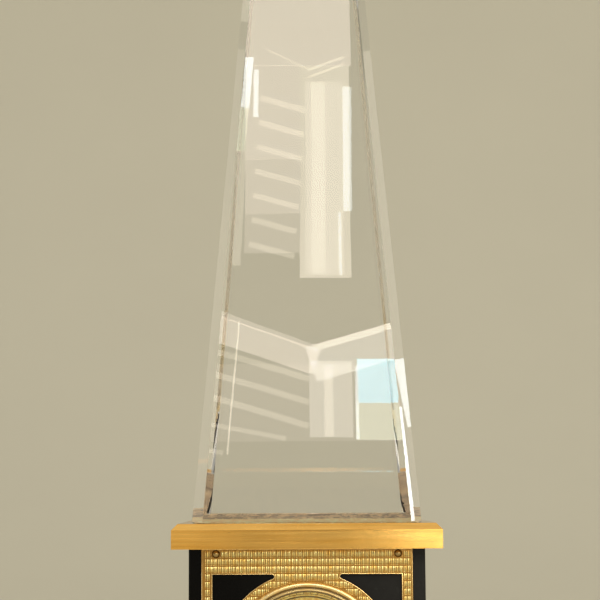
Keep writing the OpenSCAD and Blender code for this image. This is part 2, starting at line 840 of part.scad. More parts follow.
module centre_wheel() {
    color("gold") difference() {
        union() {
            rod(train_m + 8.2, centre_layer[1] + 0.8, centre_arbor_r + run_fit + 0.4);
            train_pinion(centre_leaves, intermediate_mod, train_m + 8.2, train_m + 10.4, centre_p,
                bearing(centre_p, intermediate_p));
            train_wheel(centre_teeth, centre_mod, centre_layer, centre_p,
                bearing(centre_p, third_p), 2);
        }
        rod(train_m, back_plate_m, centre_arbor_r + run_fit);
    }
}

module third_wheel() {
    color("gold") {
        arbor(third_p, 0.6);
        train_pinion(third_leaves, centre_mod, centre_layer[0] - 0.4, centre_layer[1] + 0.6, third_p,
            bearing(third_p, centre_p));
        train_wheel(third_teeth, third_mod, third_layer, third_p, bearing(third_p, fourth_p), 1.8);
    }
}

module fourth_wheel() {
    color("gold") {
        arbor(fourth_p, 0.6);
        train_pinion(fourth_leaves, third_mod, third_layer[0] - 0.6, third_layer[1] + 0.6, fourth_p,
            bearing(fourth_p, third_p));
        train_wheel(fourth_teeth, fourth_mod, fourth_layer, fourth_p,
            bearing(fourth_p, escape_p), 1.8);
    }
}

escape_r = 3.6;

// Pointed teeth that lean forwards, as on a club-tooth wheel
function raked(n, root, tip, lean) = [
    for (i = [0 : n - 1])
        for (c = [[root, 0], [tip, lean], [tip, lean + 0.14], [root, 0.36]])
            polar(c[0], (i + c[1]) * 360 / n)
];

module escape_wheel() {
    color("gold") {
        arbor(escape_p, 0.4 + pivot_r / 4);
        train_pinion(escape_leaves, fourth_mod, fourth_layer[0] - 0.6, fourth_layer[1] + 0.6, escape_p,
            bearing(escape_p, fourth_p));
        layer(escape_layer[0], escape_layer[1], escape_p) difference() {
            polygon(raked(escape_teeth, escape_r - 1, escape_r, 0.2));
            crossings(escape_r - 1.5, 1, 4, 0.5);
        }
    }
}

// The lever points from the pallets to the balance staff, and is drawn pointing along +x
module pallet_lever() {
    stone_place = 3.5;
    fork_end = staff_distance - 1.4;
    color("silver") {
        arbor(pallet_p, 0.5);
        layer(escape_layer[0] - 0.1, escape_layer[1] + 0.1, pallet_p) rotate(lever_angle) {
            circle(1);
            polygon([[0, -0.6], [fork_end - 1.2, -0.3], [fork_end - 1.2, 0.3], [0, 0.6]]);
            difference() {
                translate([fork_end - 1.4, -0.9]) square([1.4, 1.8]);
                translate([fork_end - 0.9, -0.35]) square([1, 0.7]);
            }
            for (s = [-1, 1]) mirror([0, s < 0 ? 1 : 0]) {
                polygon([[0.7, 0.2], [-0.6, 0.9], [-1.8, stone_place - 0.4], [-1.8, stone_place + 0.15],
                    [-1.1, stone_place + 0.15], [0.4, 1]]);
                translate([-2.3, stone_place - 0.45]) square([0.7, 0.6]);
            }
        }
    }
}

staff_r = 0.6;

module balance_wheel() {
    roller_m = escape_layer[0] - 1.6;
    color("gold") {
        rod(train_m + shoulder_gap, hairspring_layer[1] + 0.4, staff_r, balance_p);
        rod(front_plate_m + 0.3, cock_layer[1] - 0.4, pivot_r, balance_p);
        rod(roller_m, roller_m + 0.7, 2.2, balance_p);
        rod(roller_m + 0.6, escape_layer[0] - 0.2, 0.3, balance_p - polar(1.7, lever_angle));
        layer(balance_layer[0], balance_layer[1], balance_p) difference() {
            circle(balance_r);
            crossings(balance_r - 1, 1.6, 3, 1.1);
        }
        for (i = [0 : 11])
            rod(balance_layer[0] + 0.3, balance_layer[1] - 0.3, 0.45,
                balance_p + polar(balance_r + 0.2, 15 + 30 * i));
    }
}

hairspring_t = 0.12;

module hairspring() {
    color("steelblue") layer(hairspring_layer[0], hairspring_layer[1], balance_p)
        rotate(bearing(balance_p, cock_foot_p))
            spiral(1.1, 5, hairspring_turns, hairspring_t, 24);
}

cock_screw_r = 0.9;
cock_foot_r = 3.3;
cock_boss_r = 2.2;
cock_arm_half_w = cock_foot_r - 0.6;
index_boss_h = 1;

module balance_cock() {
    stud_p = balance_p + polar(5.6, bearing(balance_p, cock_foot_p));
    color("gold") difference() {
        union() {
            rod(rear_m, cock_layer[1], cock_foot_r, cock_foot_p);
            rod(cock_layer[0], cock_layer[1], cock_foot_r, balance_p);
            rod(cock_layer[1] - eps, cock_layer[1] + index_boss_h, cock_boss_r, balance_p);
            layer(cock_layer[0], cock_layer[1], balance_p) rotate(bearing(balance_p, cock_foot_p))
                translate([0, -cock_arm_half_w])
                    square([norm(cock_foot_p - balance_p), 2 * cock_arm_half_w]);
            rod(hairspring_layer[0] - 0.2, cock_layer[0] + eps, 0.5, stud_p);
        }
        rod(cock_layer[0] - 1, cock_layer[1] - 0.2, pivot_r + run_fit, balance_p);
        rod(rear_m - 1, cock_layer[1] + 1, cock_screw_r, cock_foot_p);
    }
}

module cock_screw() {
    color("steelblue")
        rear_screw(cock_foot_p, cock_layer[1], 2.2, 1.1, cock_screw_r, cock_layer[1] - back_plate_m);
}

module regulator_index() {
    color("silver") layer(cock_layer[1] + 0.1, cock_layer[1] + 0.9, balance_p) difference() {
        union() {
            circle(cock_boss_r + 1.4);
            rotate(lever_angle + 60)
                polygon([[0, -1], [cock_boss_r + 7.5, -0.3], [cock_boss_r + 7.5, 0.3], [0, 1]]);
        }
        circle(cock_boss_r + run_fit);
    }
}

module ratchet_wheel() {
    color("silver") layer(ratchet_layer[0], ratchet_layer[1], barrel_p) difference() {
        polygon([
            for (i = [0 : ratchet_teeth - 1])
                for (c = [[ratchet_r - 1, 0], [ratchet_r, 0.1]])
                    polar(c[0], (i + c[1]) * 360 / ratchet_teeth)
        ]);
        square(square_w, center = true);
    }
}

click_screw_r = 0.7;
click_boss_r = 1.7;

// The click reaches from its screw into the gap before a ratchet tooth's steep side
module click() {
    gap_angle = 345;
    from_screw = barrel_p - click_p;
    tip = from_screw + polar(ratchet_r - 0.65, gap_angle - 1);
    end = from_screw + polar(ratchet_r + 0.3, gap_angle + 0.2);
    back = from_screw + polar(ratchet_r + 1.4, gap_angle - 3);
    belly = from_screw + polar(ratchet_r + 0.3, gap_angle - 12);
    reach_angle = bearing([0, 0], tip);
    root_r = 1.3;
    color("silver") difference() {
        union() {
            rod(ratchet_layer[0], ratchet_layer[1], click_boss_r, click_p);
            layer(ratchet_layer[0], ratchet_layer[1], click_p)
                polygon([
                    polar(root_r, reach_angle + 100), belly, tip, end, back, polar(root_r, reach_angle - 100)
                ]);
        }
        rod(ratchet_layer[0] - 1, ratchet_layer[1] + 1, click_screw_r + run_fit, click_p);
    }
}

module click_screw() {
    color("steelblue") {
        rear_screw(click_p, ratchet_layer[1] + 0.1, 1.4, 0.9, click_screw_r, plate_t + 1.6);
    }
}

module winding_key() {
    wing_r = 5;
    wing_hole_r = 2.4;
    wing_t = 1.6;
    wing_m = key_layer[1] + 7;
    color("gold") difference() {
        union() {
            rod(key_layer[0], key_layer[1], barrel_arbor_r + 1.6, barrel_p);
            translate([barrel_p[0], front_y, clock_z + barrel_p[1] - wing_t / 2]) linear_extrude(wing_t) {
                translate([-2.4, key_layer[1] - 2]) square([4.8, wing_m - key_layer[1] + 4]);
                for (s = [-1, 1])
                    translate([s * (key_span / 2 - wing_r), wing_m]) difference() {
                        circle(wing_r);
                        circle(wing_hole_r);
                    }
            }
        }
        layer(key_layer[0] - 1, square_end_m + 0.3, barrel_p) square(square_w + 0.1, center = true);
    }
}

module setting_knob() {
    grooves = 24;
    color("gold") difference() {
        rod(knob_layer[0], knob_layer[1], set_knob_r);
        rod(knob_layer[0] - 1, knob_layer[1] + 1, centre_arbor_r);
        for (i = [0 : grooves - 1])
            rod(knob_layer[0] - 1, knob_layer[1] + 1, 0.3, polar(set_knob_r, i * 360 / grooves));
    }
}

flange_m = die_w + flange_t;
flange_r = door_r + 1;
door_gap = 0.3;
door_m = flange_m + door_gap;
hinge_x = door_r + 4;
hinge_m = door_m + door_t / 2;
knuckle_r = hinge_pin_r + 1.1;
knuckle_half = 2.9;
knuckle_gap = 0.3;
ear_w = 3.2;

// An upright cylinder on the hinge line, from z0 to z1 about the dial's centre height
module hinge_barrel(z0, z1, r) {
    translate([-hinge_x, front_y + hinge_m, clock_z + z0]) cylinder(h = z1 - z0, r = r);
}

// A plate that reaches from the hinge line to the right, between two depths and two heights
module hinge_leaf(x0, x1, m0, m1, z0, z1) {
    translate([x0, front_y + m0, clock_z + z0]) cube([x1 - x0, m1 - m0, z1 - z0]);
}

module back_ring() {
    ear_end = knuckle_half + knuckle_gap + ear_w;
    color("goldenrod") difference() {
        union() {
            rod(die_w, flange_m, flange_r);
            rod(die_w - 5, die_w + eps, bay_r);
            for (s = [-1, 1]) {
                z0 = s > 0 ? knuckle_half + knuckle_gap : -ear_end;
                hinge_barrel(z0, z0 + ear_w, knuckle_r);
                hinge_leaf(-hinge_x, -flange_r + 1.6, die_w, flange_m, z0, z0 + ear_w);
                hinge_leaf(-hinge_x - knuckle_r, -hinge_x + knuckle_r, die_w, hinge_m, z0, z0 + ear_w);
            }
        }
        rod(die_w - 6, flange_m + 1, back_opening_r);
        hinge_barrel(-20, 20, hinge_pin_r);
        for (a = [45 : 90 : 315]) {
            rod(die_w - 6, flange_m + 1, ring_screw_r, polar(ring_screw_place, a));
            rod(flange_m - 0.9, flange_m + 1, 1.75, polar(ring_screw_place, a));
        }
    }
}

module ring_screws() {
    color("silver") for (a = [45 : 90 : 315])
        rear_screw(polar(ring_screw_place, a), flange_m - 0.9, 1.7, 0.8, ring_screw_r, ring_screw_l - 0.2);
}

module back_door() {
    rim_r = back_opening_r - 0.35;
    rim_t = 1.2;
    rim_l = 3.5;
    color("goldenrod") difference() {
        union() {
            rod(door_m, door_m + door_t, door_r);
            turned() step(rim_r - rim_t, rim_r, door_m - rim_l, door_m + eps);
            turned() translate([door_r - 4, door_m + door_t]) circle(0.8);
            hinge_barrel(-knuckle_half, knuckle_half, knuckle_r);
            hinge_leaf(-hinge_x, 1.5 - door_r, door_m, door_m + door_t, -knuckle_half, knuckle_half);
            rod(door_m, door_m + door_t, 2.6, [door_r + 0.6, 0]);
        }
        hinge_barrel(-20, 20, hinge_pin_r + run_fit);
    }
}

module hinge_pin() {
    end = knuckle_half + knuckle_gap + ear_w + 0.4;
    color("silver") hinge_barrel(-end, end, hinge_pin_r);
}

obelisk();
adhesive_film();
cap_slab();
base_slab();
rubber_feet();
tie_bolts();
case_block();
front_panel();
panel_pins();
bezel_ring();
crystal();
dial_spacer();
dial_plate();
hour_markers();
hour_hand();
minute_hand();
hand_nut();
centre_arbor();
cannon_pinion();
minute_wheel();
hour_wheel();
mounting_ring();
mounting_screws();
front_plate();
pillars();
plate_screws();
back_plate();
pillar_screws();
dust_band();
barrel();
barrel_cover();
mainspring();
barrel_arbor();
intermediate_wheel();
centre_wheel();
third_wheel();
fourth_wheel();
escape_wheel();
pallet_lever();
balance_wheel();
hairspring();
balance_cock();
cock_screw();
regulator_index();
ratchet_wheel();
click();
click_screw();
winding_key();
setting_knob();
back_ring();
ring_screws();
back_door();
hinge_pin();
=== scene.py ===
"""Desk clock with a clear obelisk: materials, relief, camera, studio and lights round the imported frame."""
import json
import math
import random

import bpy
from mathutils import Matrix, Vector


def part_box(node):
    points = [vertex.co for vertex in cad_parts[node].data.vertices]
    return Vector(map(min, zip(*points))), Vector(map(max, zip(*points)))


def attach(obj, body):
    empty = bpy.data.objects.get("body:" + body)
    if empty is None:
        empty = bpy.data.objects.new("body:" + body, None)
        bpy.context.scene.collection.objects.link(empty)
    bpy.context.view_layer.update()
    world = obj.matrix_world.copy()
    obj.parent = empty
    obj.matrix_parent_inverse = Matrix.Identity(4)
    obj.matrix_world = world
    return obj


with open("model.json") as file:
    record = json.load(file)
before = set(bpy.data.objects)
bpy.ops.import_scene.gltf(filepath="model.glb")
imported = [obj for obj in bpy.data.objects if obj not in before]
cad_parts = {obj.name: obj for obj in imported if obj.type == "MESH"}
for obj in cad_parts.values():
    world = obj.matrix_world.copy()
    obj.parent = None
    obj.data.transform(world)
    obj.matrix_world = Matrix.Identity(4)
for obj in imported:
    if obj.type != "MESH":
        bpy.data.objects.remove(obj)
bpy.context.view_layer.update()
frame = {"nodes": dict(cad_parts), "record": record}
nodes = frame["nodes"]
scene = bpy.context.scene
MM = 0.001

# Places, in millimetres
def box_mm(node):
    """The two corners of a node's box."""
    low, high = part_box(node)
    return low / MM, high / MM


panel_low, panel_high = box_mm("front_panel")
crystal_low, crystal_high = box_mm("crystal")
pins_low, pins_high = box_mm("panel_pins")
marks_low, marks_high = box_mm("hour_markers")

CLOCK_Z = (crystal_low.z + crystal_high.z) / 2
PANEL_Y = panel_low.y
PANEL_HALF_W = panel_high.x
PANEL_HALF_H = (panel_high.z - panel_low.z) / 2
BEZEL_R = box_mm("bezel_ring")[1].x
LAND_W = 4.5
LAND_R = BEZEL_R + LAND_W
SIDE_BAND_W = 4.6
END_BAND_H = 10.7
WINDOW_SIDE = PANEL_HALF_W - SIDE_BAND_W
WINDOW_TOP = PANEL_HALF_H - END_BAND_H
TIP_R = 0.9
BRIDGE_HALF = 6.0
SIDE_RIM = 0.6
PIN_R = 1.7
PIN_X = pins_high.x - PIN_R
PIN_Z = (pins_high.z - pins_low.z) / 2 - PIN_R
MARK_M = 0.4
DIAL_Y = marks_low.y + MARK_M
MARK_OUTER = marks_high.z - CLOCK_Z
FIELD_INSET = 3.85
FIELD_R = crystal_high.x - FIELD_INSET
FILM_TOP = box_mm("adhesive_film")[1].z
FILM_HALF = box_mm("adhesive_film")[1].x


# Materials, with a helper for their nodes
class Paint:
    """A material and short ways to add nodes to it."""

    def __init__(self, name):
        self.material = bpy.data.materials.new(name)
        self.material.use_nodes = True
        self.tree = self.material.node_tree
        self.shader = next(n for n in self.tree.nodes if n.type == "BSDF_PRINCIPLED")

    def put(self, socket, value):
        """Links a socket to another one, or sets its value."""
        if isinstance(value, bpy.types.NodeSocket):
            self.tree.links.new(value, socket)
        elif value is not None:
            if isinstance(value, tuple) and len(value) == 3 and socket.type == "RGBA":
                value = (*value, 1.0)
            socket.default_value = value

    def set(self, **values):
        """Sets the shader's sockets by name, with an underscore for each space."""
        for name, value in values.items():
            self.put(self.shader.inputs[name.replace("_", " ")], value)
        return self

    def node(self, kind, inputs=(), out=0, **props):
        """Adds a node, fills its inputs and returns one of its outputs."""
        made = self.tree.nodes.new(kind)
        for name, value in props.items():
            setattr(made, name, value)
        for name, value in dict(inputs).items():
            self.put(made.inputs[name], value)
        return made.outputs[out]

    def place(self):
        """The point in the object's own metres."""
        return self.node("ShaderNodeTexCoord", out="Object")

    def axis(self, name):
        """One coordinate of the place."""
        return self.node("ShaderNodeSeparateXYZ", {0: self.place()}, out=name)

    def math(self, operation, a, b=None):
        """A sum or comparison of one or two values or sockets."""
        return self.node("ShaderNodeMath", {0: a, 1: b}, operation=operation)

    def stretched(self, scale):
        """The place with each axis scaled on its own, for grain."""
        return self.node("ShaderNodeMapping", {"Vector": self.place(), "Scale": scale})

    def noise(self, scale, detail, rough, vector=None):
        """Cloudy values round 0.5, over the place or a stretched one."""
        return self.node(
            "ShaderNodeTexNoise",
            {"Vector": vector or self.place(), "Scale": scale, "Detail": detail, "Roughness": rough})

    def ramp(self, value, low, high, to_low=0.0, to_high=1.0, smooth=False):
        """Maps low..high to to_low..to_high and clamps outside it."""
        return self.node(
            "ShaderNodeMapRange",
            {"Value": value, "From Min": low, "From Max": high, "To Min": to_low, "To Max": to_high},
            interpolation_type="SMOOTHSTEP" if smooth else "LINEAR")

    def mix(self, factor, a, b):
        """A colour between a, at 0, and b, at 1."""
        made = self.tree.nodes.new("ShaderNodeMix")
        made.data_type = "RGBA"
        self.put(made.inputs[0], factor)
        self.put(made.inputs[6], a)
        self.put(made.inputs[7], b)
        return made.outputs[2]

    def bump(self, height, distance, strength):
        """A normal for the shader, from a height."""
        return self.node("ShaderNodeBump", {"Height": height, "Distance": distance, "Strength": strength})


def dress(paint, *names):
    """Puts a paint in every material slot of the named nodes."""
    for name in names:
        piece = nodes[name]
        if not piece.material_slots:
            piece.data.materials.append(paint.material)
        for material_slot in piece.material_slots:
            material_slot.material = paint.material


# One function for each kind of material
ACRYLIC_IOR = 1.49
# Dark brown mixed into gilding as painted shade, in the bezel's groove and round the pins.
PAINTED_SHADE_BROWN = (0.10, 0.045, 0.008)


def acrylic():
    """Clear cast acrylic: polished faces, and a satin finish on the two rear bevels."""
    p = Paint("clear_acrylic")
    bevel_share = 0.4
    slow = p.noise(9.0, 1.0, 0.4)
    fine = p.noise(55.0, 2.0, 0.5, p.stretched((1.0, 1.0, 0.35)))
    normal = p.node("ShaderNodeTexCoord", out="Normal")
    sideways = p.math("ABSOLUTE", p.node("ShaderNodeSeparateXYZ", {0: normal}, out="X"))
    rearward = p.node("ShaderNodeSeparateXYZ", {0: normal}, out="Y")
    satin = p.math("MULTIPLY", p.math("GREATER_THAN", sideways, bevel_share),
                   p.math("GREATER_THAN", rearward, bevel_share))
    polish = p.ramp(fine, 0.55, 0.8, 0.0, 0.02)
    p.set(Base_Color=(0.955, 0.957, 0.95), IOR=ACRYLIC_IOR, Transmission_Weight=1.0,
          Normal=p.bump(slow, 0.0003, 0.3), Roughness=p.math("ADD", polish, p.math("MULTIPLY", satin, 0.24)))
    return p


def gilt(name, bright, deep, roughness, anisotropy, grain, speckle):
    """Brushed gilding whose grain runs level round the piece."""
    p = Paint(name)
    level = p.stretched((9.0, 9.0, 2600.0))
    broad = p.noise(1.0, 4.0, 0.65, p.stretched((14.0, 14.0, 620.0)))
    hair = p.noise(1.0, 3.0, 0.7, level)
    cloud = p.noise(38.0, 3.0, 0.6)
    tone = p.mix(p.ramp(broad, 0.32, 0.68), deep, bright)
    tone = p.mix(p.ramp(cloud, 0.3, 0.75, 0.0, 0.35), tone, deep)
    spots = p.ramp(p.noise(900.0, 2.0, 0.5), speckle, speckle + 0.05)
    tone = p.mix(p.math("MULTIPLY", spots, 0.55), tone, (0.16, 0.08, 0.02))
    rough = p.math("ADD", p.ramp(hair, 0.25, 0.75, -0.07, 0.07),
                   p.ramp(cloud, 0.3, 0.7, roughness - 0.03, roughness + 0.05))
    tangent = p.node("ShaderNodeTangent", direction_type="RADIAL", axis="Z")
    p.set(Base_Color=tone, Metallic=1.0, Roughness=rough, Anisotropic=anisotropy, Tangent=tangent,
          Anisotropic_Rotation=0.25, Normal=p.bump(hair, grain, 0.5))
    return p


def woven():
    """The fret panel's gilding: bright on the reeds, painted shade in the grooves, with a fine cross weave.
    """
    p = Paint("woven_gilt")
    height = p.ramp(p.axis("Y"), (PANEL_Y + 0.01) * MM, (PANEL_Y - 0.16) * MM)
    cell = p.noise(1.0, 1.0, 0.5, p.stretched((700.0, 1.0, 330.0)))
    cloth = p.noise(1.0, 2.0, 0.6, p.stretched((1300.0, 1.0, 300.0)))
    warp = p.noise(1.0, 2.0, 0.6, p.stretched((240.0, 1.0, 1900.0)))
    tone = p.mix(p.ramp(cell, 0.24, 0.58), (1.0, 0.65, 0.165), (1.0, 0.88, 0.40))
    tone = p.mix(p.ramp(cloth, 0.42, 0.68, 0.0, 0.4), tone, (0.86, 0.51, 0.13))
    # Painted shade: the low floor between the reeds is mixed towards dark brown.
    tone = p.mix(p.ramp(height, 0.05, 0.42, 0.95, 0.0), tone, (0.34, 0.16, 0.03))
    weave = p.math("ADD", cloth, warp)
    p.set(Base_Color=tone, Metallic=1.0, Roughness=p.ramp(cell, 0.3, 0.7, 0.36, 0.26),
          Normal=p.bump(weave, 0.00006, 0.7))
    return p


def polished(name, bright, deep, roughness):
    """Gilding without a grain, a little cloudy."""
    p = Paint(name)
    cloud = p.noise(260.0, 3.0, 0.6)
    fine = p.noise(2400.0, 2.0, 0.6)
    tone = p.mix(p.ramp(cloud, 0.35, 0.7), bright, deep)
    p.set(Base_Color=tone, Metallic=1.0, Roughness=p.ramp(cloud, 0.3, 0.75, roughness, roughness + 0.12),
          Normal=p.bump(fine, 0.00001, 0.4))
    return p


def shaded_polish(name, bright, deep, roughness, shade):
    """Polished gilding with painted shade: dark brown mixed in where shade, a function of the paint, gives 1.
    """
    p = polished(name, bright, deep, roughness)
    tone = p.shader.inputs["Base Color"].links[0].from_socket
    return p.set(Base_Color=p.mix(shade(p), tone, PAINTED_SHADE_BROWN))


def radius_from(p, centre_x, centre_z, folded=False):
    """Distance in the panel's plane from a point in millimetres, or from its four mirror images."""
    x = p.axis("X")
    z = p.math("SUBTRACT", p.axis("Z"), CLOCK_Z * MM)
    if folded:
        x = p.math("ABSOLUTE", x)
        z = p.math("ABSOLUTE", z)
    x = p.math("SUBTRACT", x, centre_x * MM)
    z = p.math("SUBTRACT", z, centre_z * MM)
    return p.math("SQRT", p.math("ADD", p.math("MULTIPLY", x, x), p.math("MULTIPLY", z, z)))


def groove_shade(p):
    """Painted shade in the groove between the bezel's two beads, and painted shade that dulls the inner bead.
    """
    groove_inset, groove_half = 2.15, 0.55
    radius = radius_from(p, 0.0, 0.0)
    middle = (BEZEL_R - groove_inset) * MM
    half = groove_half * MM
    off = p.math("ABSOLUTE", p.math("SUBTRACT", radius, middle))
    inner_bead = p.ramp(radius, middle, middle - half, 0.0, 0.35)
    return p.math("MAXIMUM", p.ramp(off, half, half * 0.6, 0.0, 0.9, smooth=True), inner_bead)


def pin_shade(p):
    """Painted shade: a dark ring round each pin's rim."""
    unshaded_r, shaded_r = 0.9 * MM, 1.4 * MM
    return p.ramp(radius_from(p, PIN_X, PIN_Z, folded=True), unshaded_r, shaded_r, 0.0, 0.95, smooth=True)


def dial_gilt():
    """The dial's gilding: mottled on the raised squares, with painted shade between them."""
    p = Paint("dial_gilt")
    cloud = p.noise(180.0, 3.0, 0.6)
    cell = p.noise(1.0, 1.0, 0.5, p.stretched((650.0, 1.0, 650.0)))
    fine = p.noise(2600.0, 2.0, 0.6)
    low = p.ramp(p.axis("Y"), (DIAL_Y + 0.14) * MM, (DIAL_Y - 0.04) * MM)
    tone = p.mix(p.ramp(cell, 0.3, 0.7), (0.78, 0.45, 0.06), (1.0, 0.82, 0.24))
    tone = p.mix(p.ramp(cloud, 0.4, 0.7, 0.0, 0.4), tone, (0.66, 0.38, 0.08))
    # Painted shade: the dial floor between the squares is mixed towards dark brown.
    tone = p.mix(p.ramp(low, 0.0, 0.9, 0.9, 0.0), tone, (0.10, 0.045, 0.01))
    p.set(Base_Color=tone, Metallic=1.0, Roughness=p.ramp(cloud, 0.3, 0.7, 0.26, 0.38),
          Normal=p.bump(fine, 0.00002, 0.4))
    return p


def lacquer(name, tone, painted_sheen_tone, roughness, grain):
    """Black lacquer or enamel: glossy, with orange peel, specks and a painted sheen that grows to the right.
    """
    p = Paint(name)
    peel = p.noise(grain, 2.0, 0.5)
    specks = p.ramp(p.noise(1500.0, 1.0, 0.5), 0.74, 0.80)
    haze = p.noise(45.0, 4.0, 0.6)
    # Painted sheen: a lighter tone, mottled by the haze, that grows towards +X and stands in for a reflection
    # of light from the right.
    painted_sheen_share = p.math("MULTIPLY", p.ramp(haze, 0.3, 0.6, 0.5, 1.0), p.ramp(p.axis("X"), -0.03, 0.05))
    colour = p.mix(painted_sheen_share, tone, painted_sheen_tone)
    colour = p.mix(p.math("MULTIPLY", specks, 0.25), colour, (0.12, 0.11, 0.10))
    p.set(Base_Color=colour, Roughness=p.ramp(haze, 0.3, 0.7, roughness, roughness + 0.14),
          Specular_IOR_Level=0.08, Normal=p.bump(peel, 0.00004, 0.35))
    return p


def metal(name, bright, deep, roughness, scale=(30.0, 30.0, 900.0)):
    """Brushed metal of the movement."""
    p = Paint(name)
    grain = p.noise(1.0, 4.0, 0.65, p.stretched(scale))
    cloud = p.noise(90.0, 3.0, 0.6)
    tone = p.mix(p.ramp(cloud, 0.3, 0.72), bright, deep)
    rough = p.ramp(grain, 0.25, 0.75, roughness - 0.06, roughness + 0.1)
    p.set(Base_Color=tone, Metallic=1.0, Roughness=rough, Normal=p.bump(grain, 0.00002, 0.4))
    return p


def adhesive():
    """Old adhesive under the obelisk: pale along the front, brown and mottled behind."""
    p = Paint("adhesive")
    wobble = p.math("MULTIPLY", p.ramp(p.noise(160.0, 4.0, 0.7), 0.3, 0.7, -1.0, 1.0), 0.008)
    depth = p.math("ADD", p.axis("Y"), wobble)
    back = p.ramp(depth, -0.013, -0.004, smooth=True)
    mottle = p.noise(1.0, 4.0, 0.7, p.stretched((330.0, 40.0, 330.0)))
    blotch = p.noise(95.0, 4.0, 0.65)
    brown = p.mix(p.ramp(mottle, 0.42, 0.58), (0.20, 0.105, 0.04), (0.86, 0.62, 0.36))
    brown = p.mix(p.ramp(blotch, 0.45, 0.65, 0.0, 0.6), brown, (0.62, 0.43, 0.25))
    cream = p.mix(p.ramp(mottle, 0.38, 0.66), (0.93, 0.60, 0.22), (1.0, 0.93, 0.58))
    p.set(Base_Color=p.mix(back, cream, brown), Roughness=p.ramp(mottle, 0.3, 0.7, 0.4, 0.7),
          Normal=p.bump(mottle, 0.0001, 0.5))
    return p


def rubber():
    """Black rubber of the feet."""
    p = Paint("foot_rubber")
    fine = p.noise(1800.0, 3.0, 0.6)
    cloud = p.noise(120.0, 3.0, 0.6)
    p.set(Base_Color=p.mix(p.ramp(cloud, 0.3, 0.7), (0.018, 0.018, 0.018), (0.045, 0.043, 0.04)),
          Roughness=p.ramp(fine, 0.3, 0.7, 0.7, 0.9), Normal=p.bump(fine, 0.00008, 0.6))
    return p


def clear(name, tint):
    """Clear crystal with faint smears."""
    p = Paint(name)
    smear = p.noise(140.0, 3.0, 0.6)
    p.set(Base_Color=tint, Roughness=p.ramp(smear, 0.45, 0.8, 0.0, 0.05), IOR=ACRYLIC_IOR,
          Transmission_Weight=1.0, Normal=p.bump(p.noise(40.0, 1.0, 0.4), 0.0001, 0.2))
    return p


slab_gilt = gilt("brushed_gilt", (0.87, 0.535, 0.155), (0.70, 0.365, 0.07), roughness=0.14, anisotropy=0.85,
                 grain=0.00002, speckle=0.73)
weave_gilt = woven()
bright_gilt = polished("polished_gilt", (0.97, 0.76, 0.38), (0.82, 0.56, 0.22), roughness=0.14)
ring_gilt = shaded_polish("bezel_gilt", (1.0, 0.80, 0.42), (0.95, 0.68, 0.29), roughness=0.24,
                          shade=groove_shade)
# The pins' gilding is a darkened copy of the polished gilding: painted shade for domes that mirror a dark
# room.
pin_gilt = shaded_polish("pin_gilt", (0.52, 0.37, 0.16), (0.34, 0.22, 0.08), roughness=0.12,
                         shade=pin_shade)
face_gilt = dial_gilt()
# Dark brown gilding for the sunk nail: painted shade of a small pit.
nail_painted_shade = polished("nail_painted_shade", (0.34, 0.20, 0.07), (0.16, 0.08, 0.02), roughness=0.2)
black = lacquer("black_lacquer", (0.001, 0.0009, 0.0007), (0.020, 0.0197, 0.019), roughness=0.16,
                grain=700.0)
enamel = lacquer("black_enamel", (0.010, 0.009, 0.008), (0.02, 0.018, 0.016), roughness=0.18,
                 grain=1200.0)
brass = metal("movement_brass", (0.88, 0.66, 0.30), (0.74, 0.50, 0.19), roughness=0.28)
steel = metal("steel", (0.60, 0.60, 0.59), (0.45, 0.45, 0.44), roughness=0.30)
blued = metal("blued_steel", (0.045, 0.075, 0.30), (0.06, 0.05, 0.16), roughness=0.20,
              scale=(60.0, 60.0, 300.0))
glass = clear("crystal_clear", (0.985, 0.99, 0.985))
cleared = acrylic()
glue = adhesive()
foot_rubber = rubber()

paint_of = {
    "clear_acrylic": cleared, "adhesive": glue, "brushed_gilt": slab_gilt, "woven_gilt": weave_gilt,
    "polished_gilt": bright_gilt, "dial_gilt": face_gilt, "movement_brass": brass, "black_lacquer": black,
    "black_enamel": enamel, "crystal_clear": glass, "steel": steel, "blued_steel": blued,
    "foot_rubber": foot_rubber,
}
for subpart in frame["record"]["subparts"]:
    dress(paint_of[subpart["material_slot"]], subpart["node"])
dress(ring_gilt, "bezel_ring")
dress(pin_gilt, "panel_pins")


# Relief on the fret panel
def tip_along(straight):
    """How far the round tip of a window lies along its straight side, from the dial's centre line."""
    return math.sqrt(max((LAND_R + TIP_R) ** 2 - (straight - TIP_R) ** 2, BRIDGE_HALF ** 2))


TOP_TIP = (tip_along(WINDOW_TOP), WINDOW_TOP - TIP_R)
SIDE_TIP = (WINDOW_SIDE - TIP_R, tip_along(WINDOW_SIDE))


def in_window(x, z, margin):
    """True where a corner window, grown by margin, opens the panel. x and z count from the dial's centre."""
    x, z = abs(x), abs(z)
    if x > WINDOW_SIDE + margin or z > WINDOW_TOP + margin or math.hypot(x, z) < LAND_R - margin:
        return False
    past_top_tip = x < TOP_TIP[0] and math.dist((x, z), TOP_TIP) > TIP_R + margin
    past_side_tip = z < SIDE_TIP[1] and math.dist((x, z), SIDE_TIP) > TIP_R + margin
    return not past_top_tip and not past_side_tip


def room_for_weave(x, z):
    """True where the panel is bare enough for a reed. x and z count from the dial's centre."""
    end_rim, bezel_gap, pin_gap, window_rim = 0.4, 0.25, 0.1, 0.4
    on_panel = abs(x) < PANEL_HALF_W - SIDE_RIM and abs(z) < PANEL_HALF_H - end_rim
    off_bezel = math.hypot(x, z) > BEZEL_R + bezel_gap
    off_pins = math.hypot(abs(x) - PIN_X, abs(z) - PIN_Z) > PIN_R + pin_gap
    return on_panel and off_bezel and off_pins and not in_window(x, z, window_rim)


